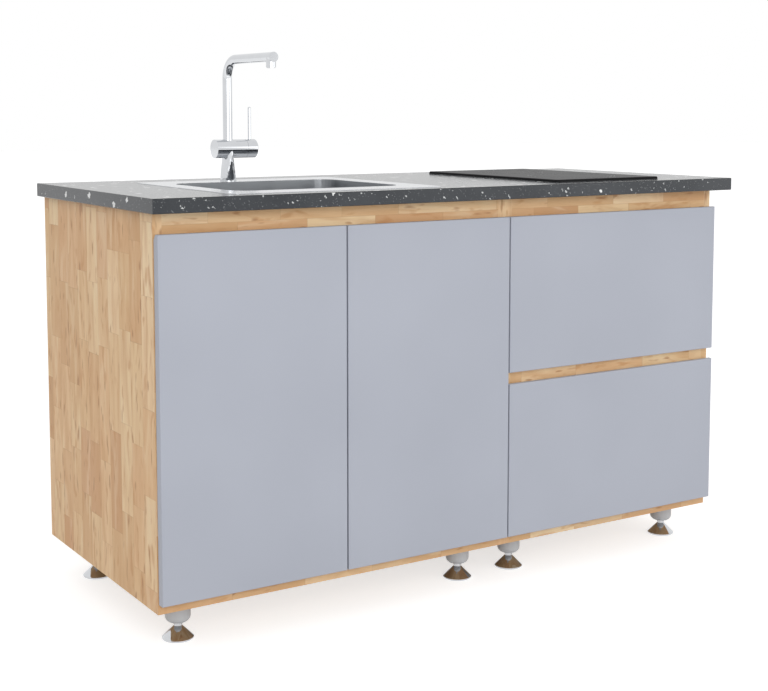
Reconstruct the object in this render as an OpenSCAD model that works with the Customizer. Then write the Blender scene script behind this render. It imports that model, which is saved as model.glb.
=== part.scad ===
// Kitchen base unit: a sink cabinet with two doors and a drawer cabinet with
// two drawers stand on levelling legs under one worktop, which holds an inset
// sink with a swivel tap and a glass hob.
// X runs to the right, Y to the back and Z up. The origin is on the floor
// under the middle of the worktop.

/* [Cabinets] */
// Width of the sink cabinet
sink_cab_w = 800; // [740:10:1000]
// Width of the drawer cabinet
drawer_cab_w = 600; // [480:10:900]
// Depth of the cabinets behind their fronts
cab_d = 590; // [580:5:650]
// Height of the cabinets between the legs and the worktop
cab_h = 750; // [720:5:800]
// Thickness of the cabinet boards
board_t = 18; // [16:1:20]
// Height of the upright rails under the worktop
top_rail_h = 90; // [70:5:100]
// Height of the rail behind the gap between the drawers
mid_rail_h = 70; // [50:5:84]
// Thickness of the back panels
back_t = 6; // [4:1:8]
// Distance from the back panels to the rear edge of the sides
back_inset = 16; // [12:1:20]
// Depth of the grooves that hold the back panels
groove_depth = 8; // [5:1:10]
// Width of the service cut-out in the back of the sink cabinet
service_w = 260; // [160:10:320]
// Height of the service cut-out
service_h = 180; // [120:10:220]

/* [Fronts] */
// Thickness of the doors and drawer fronts
front_t = 18; // [16:1:20]
// Gap between the fronts and the cabinet edges
front_gap = 1.5; // [1.5:0.1:2.5]
// Inset of each front from the edge of its own field
front_reveal = 1.5; // [1.2:0.1:2]
// Height of the cabinet edge that shows above the fronts
fronts_below_top = 39; // [34:1:48]
// Height of the cabinet edge that shows below the fronts
fronts_above_base = 20; // [10:1:26]
// Height of the finger gap between the drawer fronts
finger_gap = 25; // [20:1:32]
// Fall of the bevelled grip along the top of each front
grip_drop = 10; // [6:1:14]
// Run of the bevelled grip in from the back of each front
grip_run = 8; // [5:1:11]
// Radius of the edges around the face of each front
front_edge_r = 1.5; // [0.5:0.5:3]

/* [Worktop] */
// Thickness of the worktop
worktop_t = 28; // [20:1:40]
// Overhang of the worktop past the cabinets at the front
overhang_front = 38; // [30:1:60]
// Overhang of the worktop at the left
overhang_left = 15; // [5:1:40]
// Overhang of the worktop at the right
overhang_right = 31; // [5:1:40]
// Overhang of the worktop at the back
overhang_back = 3; // [3:1:30]
// Chamfer along the worktop's edges
worktop_chamfer = 1; // [0.5:0.5:3]

/* [Sink] */
// Width of the sink over its rim
sink_w = 480; // [460:2:520]
// Shift of the sink from the middle of its cabinet
sink_shift = 6; // [-20:1:30]
// Inner width of the bowl
bowl_w = 385; // [320:5:400]
// Inner depth of the bowl from front to back
bowl_d = 320; // [280:5:325]
// Height of the bowl below the sink deck
bowl_h = 165; // [130:5:185]
// Shift of the bowl from the middle of the sink
bowl_shift = -4; // [-15:1:15]
// Width of the deck in front of the bowl
deck_front = 73; // [60:1:80]
// Width of the deck behind the bowl, which holds the tap
deck_back = 87; // [80:1:100]
// Radius of the bowl's corners and of its bottom edge
bowl_r = 40; // [30:2:60]
// Thickness of the bowl's sheet
sheet_t = 1.2; // [0.8:0.1:1.5]
// Thickness of the sink's deck, which lies on the worktop
deck_h = 1.2; // [1:0.1:3]
// Width of the rim that rests on the worktop
rim_lap = 15; // [10:1:17]
// Radius of the waste hole
waste_r = 43; // [36:1:50]

/* [Waste] */
// Length of the waste body below the bowl
waste_len = 46; // [36:1:60]
// Outer radius of the waste pipes
pipe_r = 20; // [16:1:20]
// Wall of the waste pipes
pipe_wall = 2; // [1.5:0.5:3]
// Outer radius of the trap's bottle
bottle_r = 32; // [32:1:40]
// Height of the trap's bottle
bottle_h = 110; // [90:5:140]
// Height of the screwed cup at the foot of the trap's bottle
trap_cup_h = 44; // [36:1:60]

/* [Tap] */
// Shift of the tap from the middle of the sink
tap_shift = -38; // [-60:1:60]
// Radius of the tap's foot
tap_foot_r = 17.5; // [17:0.5:22]
// Height of the cross body's axis above the sink deck
tap_axis_h = 71; // [60:1:84]
// Radius of the cross body
tap_cross_r = 20.5; // [19:0.5:24]
// Length of the cross body to the left of the tap's middle
tap_cross_left = 33; // [28:1:50]
// Length of the cross body to the right of the tap's middle
tap_cross_right = 41; // [34:1:60]
// Length of the turning end cap
cap_len = 25; // [24:1:34]
// Radius of the lever rod
lever_r = 3.7; // [3.2:0.1:4.5]
// Length of the lever rod above the end cap
lever_len = 72; // [50:1:90]
// Radius of the spout tube
spout_r = 10.5; // [9.5:0.5:12.5]
// Height of the spout's top above the sink deck
spout_h = 276; // [220:1:330]
// Reach of the spout from its axis to the nozzle
spout_reach = 207; // [160:1:240]
// Radius of the spout's bend along its middle line
spout_bend_r = 42; // [28:1:50]
// Length of the nozzle below the spout
nozzle_len = 11; // [8:1:20]

/* [Hob] */
// Width of the hob glass
hob_w = 300; // [280:5:360]
// Depth of the hob glass
hob_d = 500; // [480:5:520]
// Thickness of the hob glass
hob_t = 6; // [4:0.5:8]
// Distance from the cabinet's front to the hob glass
hob_front = 12; // [10:1:20]
// Lap of the hob glass around its housing
hob_lap = 16; // [12:1:24]
// Height of the hob housing below the glass
hob_box_h = 48; // [40:1:60]

/* [Legs] */
// Height of the legs
leg_h = 80; // [74:1:100]
// Distance of the legs from the ends of each cabinet
leg_inset_x = 70; // [50:1:100]
// Distance of the front legs from the cabinet's front
leg_inset_front = 70; // [50:1:120]
// Distance of the rear legs from the cabinet's back
leg_inset_back = 90; // [60:1:120]
// Radius of the leg's sleeve
sleeve_r = 25; // [20:1:30]
// Height of the leg's sleeve with its rounded lower edge
sleeve_h = 47; // [42:1:52]
// Radius of the foot's stem
stem_r = 8; // [6:0.5:9]
// Radius of the foot's base
foot_r = 31; // [26:1:36]
// Height of the foot's cone above its rim
foot_cone_h = 20; // [14:1:22]
// Height of the foot's rim
foot_rim_h = 4; // [3:0.5:5]

/* [Drawers] */
// Height of the upper drawer's box
upper_box_h = 200; // [140:5:205]
// Height of the lower drawer's box
lower_box_h = 240; // [160:5:250]
// Length of the drawer boxes from front to back
box_len = 500; // [450:10:510]
// Thickness of the boards of the drawer boxes
box_t = 15; // [12:1:18]
// Thickness of the drawer bases
base_t = 6; // [4:1:8]
// Height of the drawer base above the lower edge of the box
base_up = 10; // [8:1:16]
// Width of the gap that holds each drawer runner
runner_gap = 13; // [12.5:0.1:14]
// Height of the drawer runners
runner_h = 45; // [40:1:50]
// Height of the runner's middle above the lower edge of the box
runner_up = 60; // [40:1:80]
// Length of the drawer runners
runner_len = 490; // [440:10:500]
// Thickness of the runners' sheet
runner_t = 1.5; // [1:0.1:1.6]

/* [Hinges] */
// Distance from a door's ends to its hinges
hinge_inset = 100; // [80:5:140]
// Radius of the hinge cups
cup_r = 17.5; // [16:0.1:17.5]
// Depth of the hinge cups
cup_depth = 12; // [11.5:0.1:13]
// Distance from the door's edge to the middle of its cups
cup_edge = 22.5; // [22:0.1:23.5]

/* [Hidden] */
$fn = 64;

// Colours
WOOD = [0.80, 0.66, 0.50];
PAINT = [0.70, 0.72, 0.77];
STONE = [0.33, 0.34, 0.35];
STEEL = [0.75, 0.76, 0.77];
CHROME = [0.86, 0.87, 0.88];
GLASS = [0.04, 0.04, 0.05];
PLASTIC = [0.90, 0.90, 0.88];
ZINC = [0.62, 0.63, 0.65];

// Clearances
seat_gap = 0.3; // between pieces of different bodies that nearly touch
run_gap = 0.05; // around a shaft that turns in its bore
fit_gap = 0.15; // on each side of a panel in its groove
EPS = 0.01;
CUT = 1; // how far a cutting form runs past the face that it cuts

// The cabinet frame: X from the left side, Y from the front edge, Z from the underside
worktop_w = overhang_left + sink_cab_w + drawer_cab_w + overhang_right;
worktop_d = overhang_front + cab_d + overhang_back;
cab_x = overhang_left - worktop_w / 2;
cab_y = overhang_front - worktop_d / 2;
drawer_cab_x = sink_cab_w;
top_z = cab_h + worktop_t;

// Fronts
front_y = -front_gap - front_t;
fronts_z0 = fronts_above_base;
fronts_z1 = cab_h - fronts_below_top;
drawer_front_h = (fronts_z1 - fronts_z0 - finger_gap) / 2;
upper_front_z = fronts_z1 - drawer_front_h;
door_w = sink_cab_w / 2 - 2 * front_reveal;
door_h = fronts_z1 - fronts_z0;
drawer_front_w = drawer_cab_w - 2 * front_reveal;
mid_rail_z = upper_front_z - finger_gap / 2 - mid_rail_h / 2;
top_rail_z = cab_h - top_rail_h;

// Back panels and rails
back_y = cab_d - back_inset - back_t;
back_rail_y = back_y - board_t;
wall_screw_r = 3.5;
wall_screw_inset = 90;
wall_screw_z = cab_h - top_rail_h / 2;

// Where the two cabinets are bolted together
bolt_inset_front = 60;
bolt_inset_back = 70;
bolt_low_z = 200;
bolt_ys = [bolt_inset_front, cab_d - bolt_inset_back];
bolt_zs = [bolt_low_z, top_rail_z + top_rail_h / 2];
bolt_r = 4;
bolt_head_r = 8;
bolt_head_t = 2;

// Sink
sink_x = sink_cab_w / 2 + sink_shift;
rail_room = 2;
sink_y = board_t + rail_room - rim_lap;
sink_d = deck_front + bowl_d + deck_back;
bowl_x = sink_x + bowl_shift;
bowl_y = sink_y + deck_front + bowl_d / 2;
sink_corner_r = 14;
rim_slope = 0.8;
rim_edge = 0.4;
deck_top_z = top_z + deck_h;
bowl_floor_z = deck_top_z - bowl_h;
tap_hole_r = 17.5;
tap_x = sink_x + tap_shift;
tap_y = sink_y + sink_d - deck_back / 2;
clip_inset = 120;
clip_w = 16;
clip_t = 2;
clip_reach = 14;

// Waste, trap and the service cut-out around the pipe
service_corner_r = 20;
waste_flange_r = waste_r + 9;
waste_flange_t = 1.6;
waste_flange_bevel = 2;
waste_wall = 2.5;
waste_cone_h = 26;
nut_h = 12;
nut_wall = 5;
waste_end_z = bowl_floor_z - waste_len - waste_cone_h;
tail_len = 18;
slip_room = 4;
slip_h = 18;
slip_over = 6;
outlet_nut_h = 14;
outlet_end = bottle_r + slip_room + outlet_nut_h;
bottle_top_z = waste_end_z - slip_room - slip_h - 12;
bottle_z = bottle_top_z - bottle_h;
trap_ring_h = 12;
trap_ring_over = 4;
dip_up = 30;
dip_z = bottle_z + dip_up;
pipe_z = bottle_top_z - pipe_r - 12;
pipe_spigot = 10;
pipe_end_y = cab_d - 2;

// Strainer basket
basket_r = waste_r - waste_wall - 2.5;
basket_h = 26;
basket_wall = 1.5;
basket_lip = 2;
basket_taper = 6;
basket_taper_h = 10;
basket_knob_r = 6;
basket_knob_h = 18;
basket_knob_t = 3;
basket_neck_r = 3;
basket_hole_r = 2.2;
basket_rings = [[0.31, 6], [0.52, 10], [0.73, 14]]; // share of the radius, holes

// Tap
collar_h = 3;
collar_over = 0.8;
spout_seat_h = 1;
spout_seat_over = 0.5;
spigot_r = spout_r - 1.5;
spigot_len = 10;
spigot_wall = 2.5;
spout_wall = 1.6;
spout_end = 2;
neck_half = 10;
neck_in = 0.5;
boss_r = 14;
boss_len = 4;
ball_r = 7;
lever_tilt = 16;
cap_gap = 0.4;
cap_chamfer = 2;
lever_x = tap_cross_right + cap_gap + boss_len + ball_r + 1;
shank_r = 16;
shank_len = 52;
inlet_r = 4.5;
inlet_pitch = 13;
inlet_len = 14;
washer_t = 3;
washer_over = 6;
nut_flats = 44;
aerator_len = 8;
aerator_out = 1.5;
aerator_hole_r = 0.9;
aerator_rings = [[0, 1], [0.33, 6], [0.64, 12]]; // share of the radius, holes

// Hob
hob_x = drawer_cab_x + drawer_cab_w / 2;
hob_box_w = hob_w - 2 * hob_lap;
hob_box_d = hob_d - 2 * hob_lap;
hob_corner_r = 8;
hob_chamfer = 2;
cutout_gap = 3;
hob_box_r = 6;
hob_sheet_t = 1.2;
supply_inset = 40;
supply_r = 8;
supply_len = 14;

// Legs
leg_xs = [
    leg_inset_x, sink_cab_w - leg_inset_x,
    drawer_cab_x + leg_inset_x, drawer_cab_x + drawer_cab_w - leg_inset_x
];
leg_ys = [leg_inset_front, cab_d - leg_inset_back];
leg_places = [for (y = leg_ys, x = leg_xs) [x, y]];
sleeve_round = 13;
sleeve_mouth = 3;
plate_half = 30;
plate_t = 2.5;
plate_corner_r = 8;
stem_in_sleeve = 24;
foot_edge = 1.5;
foot_neck = 2;

// Drawers
box_w = drawer_cab_w - 2 * board_t - 2 * runner_gap;
box_x = drawer_cab_x + board_t + runner_gap;
box_floor_room = 12;
upper_box_z = mid_rail_z + mid_rail_h + box_floor_room;
lower_box_z = board_t + box_floor_room;
base_groove = 7;
runner_front = 3;
runner_web_x = 5.5;
outer_flange = 9.5;
middle_flange_out = 3;
middle_flange_in = 4.5;
middle_start = 2;
middle_short = 22;
outer_half = runner_h / 2;
middle_half = outer_half - runner_t - seat_gap;
inner_half = middle_half - runner_t - seat_gap;

// Hinges: the door turns about a line 5 mm in and 4 mm behind its outer front
// edge, and a link that turns the other way on the arm's tip stays in the cup
cup_wall = 1;
cup_fit = 0.1;
cup_lip = 1.5;
cup_flange_t = 1;
cup_flange_half = 27;
cup_flange_r = 7;
cup_flange_shift = 5.5;
link_half = 4.6;
link_t = 2.4;
link_len = 22;
link_angle = 175.2;
link_x = 35;
link_y = -front_gap - 6.8;
arm_half = 7;
arm_x0 = 20.5;
arm_x1 = 33;
arm_len = 62;
arm_wall = 1.5;
arm_hollow_y = 6;
arm_hollow_x = 2;
nose_r = 2.6;
nose_root = [4.6, 3];
nose_lap = 2;
slot_room = 4;
slot_front = 4.6;
slot_d = 8.4;
pin_r = 1.2;
arm_plate_y0 = 14;
arm_plate_y1 = 58;
arm_plate_half = 24;
hinge_zs = [fronts_z0 + hinge_inset, fronts_z1 - hinge_inset];

// Draws its children in the cabinet frame
module in_cabinet() {
    translate([cab_x, cab_y, leg_h]) children();
}

// A flat rectangle with round corners, about the origin
module rounded(w, d, r) {
    square([w - 2 * r, d], center = true);
    square([w, d - 2 * r], center = true);
    for (sx = [-1, 1], sy = [-1, 1]) {
        translate([sx * (w / 2 - r), sy * (d / 2 - r)]) circle(r);
    }
}

// A cylinder along X from x0 to x1
module rod_x(x0, x1, r) {
    translate([x0, 0, 0]) rotate([0, 90, 0]) cylinder(h = x1 - x0, r = r);
}

// A cylinder along Y from y0 to y1
module rod_y(y0, y1, r) {
    translate([0, y0, 0]) rotate([-90, 0, 0]) cylinder(h = y1 - y0, r = r);
}

// Mirrors its children about the middle of the sink cabinet
module in_sink_mirror(on) {
    if (on) {
        translate([sink_cab_w, 0, 0]) mirror([1, 0, 0]) children();
    } else {
        children();
    }
}

// One side panel whose inner face looks to +X, with the groove for the back
module side_panel() {
    difference() {
        cube([board_t, cab_d, cab_h]);
        translate([board_t - groove_depth, back_y - fit_gap, board_t - groove_depth])
            cube([groove_depth + EPS, back_t + 2 * fit_gap, cab_h]);
    }
}

// The floor of a cabinet of width w, between its sides
module floor_panel(w) {
    difference() {
        translate([board_t, 0, 0]) cube([w - 2 * board_t, cab_d, board_t]);
        translate([board_t - EPS, back_y - fit_gap, board_t - groove_depth])
            cube([w - 2 * board_t + 2 * EPS, back_t + 2 * fit_gap, groove_depth + EPS]);
    }
}

// An upright rail of height h between the sides of a cabinet of width w
module rail(w, h, y, z) {
    translate([board_t, y, z]) cube([w - 2 * board_t, board_t, h]);
}

// The middles of a cabinet's two wall screws
function wall_screws(w) = [wall_screw_inset, w - wall_screw_inset];

// The rail at the top of the back, drilled for the wall screws
module back_rail(w) {
    difference() {
        rail(w, top_rail_h, back_rail_y, top_rail_z);
        for (x = wall_screws(w)) {
            translate([x, 0, wall_screw_z]) rod_y(back_rail_y - CUT, back_y + CUT, wall_screw_r);
        }
    }
}

// The back panel in its grooves, drilled behind the wall screws
module back_panel(w) {
    side = groove_depth - fit_gap;
    foot = board_t - groove_depth + fit_gap;
    difference() {
        translate([board_t - side, back_y, foot])
            cube([w - 2 * board_t + 2 * side, back_t, cab_h - foot]);
        for (x = wall_screws(w)) {
            translate([x, 0, wall_screw_z]) rod_y(back_y - CUT, back_y + back_t + CUT, wall_screw_r);
        }
    }
}

// The back of the sink cabinet, open around the waste pipe
module sink_back_panel() {
    color(WOOD) difference() {
        back_panel(sink_cab_w);
        translate([bowl_x, back_y + back_t + CUT, pipe_z])
            rotate([90, 0, 0])
            linear_extrude(back_t + 2 * CUT)
            rounded(service_w, service_h, service_corner_r);
    }
}

// The holes for the bolts that join the two cabinets
module bolt_holes() {
    for (y = bolt_ys, z = bolt_zs) {
        translate([0, y, z])
            rod_x(sink_cab_w - board_t - CUT, sink_cab_w + board_t + CUT, bolt_r + run_gap);
    }
}

module connector_bolts() {
    color(ZINC) for (y = bolt_ys, z = bolt_zs) {
        translate([sink_cab_w, y, z]) {
            rod_x(-board_t - bolt_head_t, board_t + bolt_head_t, bolt_r);
            rod_x(-board_t - bolt_head_t, -board_t, bolt_head_r);
            rod_x(board_t, board_t + bolt_head_t, bolt_head_r);
        }
    }
}

// The upright section of a front of height h, with its face at the left
module front_section(h) {
    polygon([
        [front_edge_r, 0], [front_t, 0], [front_t, h - grip_drop],
        [front_t - grip_run, h], [front_edge_r, h]
    ]);
    translate([0, front_edge_r]) square([front_t - grip_run, h - 2 * front_edge_r]);
    for (z = [front_edge_r, h - front_edge_r]) {
        translate([front_edge_r, z]) circle(front_edge_r);
    }
}

// A front panel of width w and height h, bevelled along the back of its top edge
module front_panel(w, h) {
    intersection() {
        rotate([90, 0, 90]) linear_extrude(w) front_section(h);
        linear_extrude(h) union() {
            translate([front_edge_r, 0]) square([w - 2 * front_edge_r, front_t]);
            translate([0, front_edge_r]) square([w, front_t - front_edge_r]);
            for (x = [front_edge_r, w - front_edge_r]) {
                translate([x, front_edge_r]) circle(front_edge_r);
            }
        }
    }
}

// A hinge cup's place on the left door, at height z
module at_cup(z) {
    translate([front_reveal + cup_edge, -front_gap, z]) children();
}

// The left door, or its mirror image at the right
module door(right) {
    in_sink_mirror(right) difference() {
        translate([front_reveal, front_y, fronts_z0]) front_panel(door_w, door_h);
        for (z = hinge_zs) {
            at_cup(z) rod_y(-cup_depth - cup_fit, CUT, cup_r + cup_fit);
        }
    }
}

// The cups pressed into one door, with their screw flanges
module hinge_cups(right) {
    in_sink_mirror(right) for (z = hinge_zs) {
        at_cup(z) difference() {
            union() {
                rod_y(-cup_depth, 0, cup_r);
                rotate([-90, 0, 0]) linear_extrude(cup_flange_t) {
                    circle(cup_r + cup_lip);
                    translate([cup_flange_shift, 0])
                        rounded(2 * cup_flange_r, 2 * cup_flange_half, cup_flange_r - EPS);
                }
            }
            rod_y(-cup_depth + cup_wall, cup_flange_t + CUT, cup_r - cup_wall);
        }
    }
}

// An arm, its plate on the side panel and the pin at its nose
module hinge_arm(z) {
    translate([0, 0, z]) {
        translate([board_t, arm_plate_y0, -arm_plate_half])
            cube([arm_x0 - board_t, arm_plate_y1 - arm_plate_y0, 2 * arm_plate_half]);
        difference() {
            union() {
                translate([arm_x0, -front_gap, -arm_half])
                    cube([arm_x1 - arm_x0, arm_len + front_gap, 2 * arm_half]);
                translate([0, 0, -arm_half]) linear_extrude(2 * arm_half) hull() {
                    translate([link_x, link_y]) circle(nose_r, $fn = 32);
                    translate([arm_x1 - nose_lap, -front_gap]) square(nose_root);
                }
            }
            translate([link_x - link_len - slot_room, link_y - slot_front, -link_half - seat_gap])
                cube([link_len + 2 * slot_room, slot_d, 2 * (link_half + seat_gap)]);
            translate([arm_x0 + arm_hollow_x, arm_hollow_y, -arm_half + arm_wall])
                cube([arm_x1, arm_len, 2 * (arm_half - arm_wall)]);
        }
        translate([link_x, link_y, -arm_half]) cylinder(h = 2 * arm_half, r = pin_r);
    }
}

module hinge_arms() {
    color(ZINC) for (right = [false, true], z = hinge_zs) {
        in_sink_mirror(right) hinge_arm(z);
    }
}

// The links between the arm tips and the cups of one door
module hinge_links(right) {
    in_sink_mirror(right) for (z = hinge_zs) {
        translate([link_x, link_y, z - link_half]) linear_extrude(2 * link_half) difference() {
            union() {
                circle(nose_r);
                rotate(link_angle) translate([0, -link_t / 2]) square([link_len, link_t]);
            }
            circle(pin_r + run_gap);
        }
    }
}

// The room around the hob's housing, cut out of all that would reach into it
module hob_room() {
    below = hob_box_h + cutout_gap;
    translate([hob_x, hob_front + hob_d / 2, top_z - below])
        linear_extrude(below + CUT)
        rounded(hob_box_w + 2 * cutout_gap, hob_box_d + 2 * cutout_gap, hob_corner_r);
}

// The worktop, cut out for the sink and the hob
module worktop() {
    color(STONE) difference() {
        hull() {
            translate([-overhang_left + worktop_chamfer, -overhang_front + worktop_chamfer, cab_h])
                cube([worktop_w - 2 * worktop_chamfer, worktop_d - 2 * worktop_chamfer, worktop_t]);
            translate([-overhang_left, -overhang_front, cab_h + worktop_chamfer])
                cube([worktop_w, worktop_d, worktop_t - 2 * worktop_chamfer]);
        }
        translate([sink_x, sink_y + sink_d / 2, cab_h - CUT])
            linear_extrude(worktop_t + 2 * CUT)
            rounded(sink_w - 2 * rim_lap, sink_d - 2 * rim_lap, sink_corner_r);
        hob_room();
    }
}

// One corner of the bowl's form, grown by wall, from its rounded foot up to top
module bowl_corner(wall, top) {
    steps = 8;
    rotate_extrude($fn = 32) polygon(concat(
        [[0, -bowl_h - wall]],
        [for (k = [1:steps]) let (a = 90 * k / steps)
            [(bowl_r + wall) * sin(a), bowl_r - bowl_h - (bowl_r + wall) * cos(a)]],
        [[bowl_r + wall, top], [0, top]]
    ));
}

// The bowl's form, grown by wall on every side, with Z from the sink deck
module bowl_form(wall, top) {
    x = bowl_w / 2 - bowl_r;
    y = bowl_d / 2 - bowl_r;
    translate([bowl_x, bowl_y, deck_top_z]) hull() for (sx = [-1, 1], sy = [-1, 1]) {
        translate([sx * x, sy * y, 0]) bowl_corner(wall, top);
    }
}

// The sink's flat deck with its bevelled edge, open over the bowl and drilled for the tap
module sink_deck() {
    color(STEEL) difference() {
        translate([sink_x, sink_y + sink_d / 2, top_z]) hull() {
            linear_extrude(rim_edge) rounded(sink_w, sink_d, sink_corner_r);
            linear_extrude(deck_h)
                rounded(sink_w - 2 * rim_slope, sink_d - 2 * rim_slope, sink_corner_r - rim_slope);
        }
        bowl_form(0, CUT);
        translate([tap_x, tap_y, top_z - CUT]) cylinder(h = deck_h + 2 * CUT, r = tap_hole_r);
    }
}

// The bowl under the deck, with the hole for the waste
module sink_bowl() {
    color(STEEL) difference() {
        bowl_form(sheet_t, -deck_h);
        bowl_form(0, CUT);
        translate([bowl_x, bowl_y, bowl_floor_z - sheet_t - CUT])
            cylinder(h = sheet_t + 2 * CUT, r = waste_r);
    }
}

// One clip that holds the sink's rim down, drawn at the cut-out's edge on its -X side
module sink_clip() {
    top = -seat_gap;
    rotate([90, 0, 0]) translate([0, 0, -clip_w / 2]) linear_extrude(clip_w) {
        polygon([
            [seat_gap, top], [seat_gap + clip_t, top],
            [seat_gap + clip_t, -worktop_t - clip_t - seat_gap],
            [-clip_reach, -worktop_t - clip_t - seat_gap],
            [-clip_reach, -worktop_t - seat_gap],
            [seat_gap, -worktop_t - seat_gap]
        ]);
    }
}

module sink_clips() {
    side = sink_w / 2 - rim_lap;
    color(ZINC) translate([sink_x, 0, top_z]) {
        for (y = [sink_y + clip_inset, sink_y + sink_d - clip_inset]) {
            translate([-side, y, 0]) sink_clip();
            translate([side, y, 0]) rotate([0, 0, 180]) sink_clip();
        }
        for (x = [clip_inset - sink_w / 2, sink_w / 2 - clip_inset]) {
            translate([x, sink_y + sink_d - rim_lap, 0]) rotate([0, 0, -90]) sink_clip();
        }
    }
}

// The waste body: a flange in the bowl, a threaded barrel, its nut and the outlet
module sink_waste() {
    barrel_r = waste_r - seat_gap;
    tail_r = pipe_r - pipe_wall - fit_gap;
    color(CHROME) translate([bowl_x, bowl_y, bowl_floor_z]) rotate_extrude() polygon([
        [waste_flange_r, 0], [waste_flange_r - waste_flange_bevel, waste_flange_t],
        [barrel_r - waste_wall, waste_flange_t],
        [barrel_r - waste_wall, -waste_len],
        [tail_r - pipe_wall, -waste_len - waste_cone_h],
        [tail_r - pipe_wall, -waste_len - waste_cone_h - tail_len],
        [tail_r, -waste_len - waste_cone_h - tail_len],
        [tail_r, -waste_len - waste_cone_h],
        [barrel_r, -waste_len],
        [barrel_r, -sheet_t - nut_h], [barrel_r + nut_wall, -sheet_t - nut_h],
        [barrel_r + nut_wall, -sheet_t - fit_gap], [barrel_r, -sheet_t - fit_gap], [barrel_r, 0]
    ]);
}

// The strainer basket, with rings of holes in its floor and a knob to lift it by
module strainer_basket() {
    lip_z = waste_flange_t + seat_gap;
    inner_r = basket_r - basket_wall;
    color(STEEL) translate([bowl_x, bowl_y, bowl_floor_z]) difference() {
        rotate_extrude() polygon([
            [0, -basket_h], [basket_r - basket_taper, -basket_h],
            [basket_r, -basket_h + basket_taper_h],
            [basket_r, lip_z], [waste_r + basket_lip, lip_z],
            [waste_r + basket_lip, lip_z + basket_wall], [inner_r, lip_z + basket_wall],
            [inner_r, -basket_h + basket_taper_h], [inner_r - basket_taper, -basket_h + basket_wall],
            [basket_neck_r, -basket_h + basket_wall],
            [basket_neck_r, -basket_h + basket_knob_h - basket_knob_t - 1],
            [basket_knob_r, -basket_h + basket_knob_h - basket_knob_t],
            [basket_knob_r, -basket_h + basket_knob_h], [0, -basket_h + basket_knob_h]
        ]);
        for (ring = basket_rings, k = [1:ring[1]]) {
            rotate([0, 0, 360 * k / ring[1]]) translate([ring[0] * basket_r, 0, -basket_h - CUT])
                cylinder(h = basket_wall + 2 * CUT, r = basket_hole_r, $fn = 24);
        }
    }
}

// The bottle trap: its inlet tube dips into the bottle, which ends in a screwed cup
module bottle_trap() {
    bore = pipe_r - pipe_wall;
    inside = bottle_r - pipe_wall;
    cup_top_z = bottle_z + trap_cup_h;
    inlet_top_z = waste_end_z - slip_room;
    bore_y = sqrt(inside * inside - bore * bore) - CUT;
    color(PLASTIC) translate([bowl_x, bowl_y, 0]) {
        difference() {
            union() {
                translate([0, 0, cup_top_z]) cylinder(h = bottle_top_z - cup_top_z, r = bottle_r);
                translate([0, 0, inlet_top_z - slip_h]) cylinder(h = slip_h, r = pipe_r + slip_over);
                translate([0, 0, pipe_z]) {
                    rod_y(0, outlet_end - CUT, pipe_r);
                    rod_y(bottle_r + slip_room, outlet_end, pipe_r + slip_over);
                }
            }
            translate([0, 0, bottle_z]) cylinder(h = bottle_h - pipe_wall, r = inside);
            translate([0, 0, bottle_z]) cylinder(h = inlet_top_z + CUT - bottle_z, r = bore);
            translate([0, 0, pipe_z]) rod_y(bore_y, outlet_end + CUT, bore);
        }
        translate([0, 0, dip_z]) difference() {
            cylinder(h = inlet_top_z - dip_z, r = pipe_r);
            translate([0, 0, -CUT]) cylinder(h = inlet_top_z - dip_z + 2 * CUT, r = bore);
        }
        translate([0, 0, bottle_z]) difference() {
            union() {
                cylinder(h = trap_cup_h - fit_gap, r = bottle_r);
                translate([0, 0, trap_cup_h - trap_ring_h - fit_gap])
                    cylinder(h = trap_ring_h, r = bottle_r + trap_ring_over);
            }
            translate([0, 0, pipe_wall]) cylinder(h = trap_cup_h, r = inside);
        }
    }
}

// The pipe from the trap through the service cut-out
module waste_pipe() {
    end_y = pipe_end_y - bowl_y;
    color(PLASTIC) translate([bowl_x, bowl_y, pipe_z]) difference() {
        union() {
            rod_y(outlet_end - pipe_spigot, end_y, pipe_r - pipe_wall - fit_gap);
            rod_y(outlet_end + fit_gap, end_y, pipe_r);
        }
        rod_y(outlet_end - pipe_spigot - CUT, end_y + CUT, pipe_r - 2 * pipe_wall);
    }
}

// A closed skin over rings that all have the same number of points
module skin(rings) {
    n = len(rings[0]);
    last = len(rings) - 1;
    polyhedron(
        points = [for (ring = rings, p = ring) p],
        faces = concat(
            [[for (k = [0:n - 1]) k]],
            [for (j = [0:last - 1], k = [0:n - 1])
                [j * n + k, (j + 1) * n + k, j * n + (k + 1) % n]],
            [for (j = [0:last - 1], k = [0:n - 1])
                [j * n + (k + 1) % n, (j + 1) * n + k, (j + 1) * n + (k + 1) % n]],
            [[for (k = [0:n - 1]) last * n + n - 1 - k]]
        )
    );
}

// The tap's column, round at its foot and drawn in at its sides towards the cross body
module tap_column() {
    steps = 10;
    sides = 40;
    depth = tap_cross_r - neck_in;
    skin([for (k = [0:steps]) let (u = k / steps, ease = (1 - cos(180 * u)) / 2)
        [for (i = [0:sides - 1]) let (a = 360 * i / sides) [
            (tap_foot_r + (neck_half - tap_foot_r) * ease) * cos(a),
            (tap_foot_r + (depth - tap_foot_r) * ease) * sin(a),
            tap_axis_h * u
        ]]
    ]);
}

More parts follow.
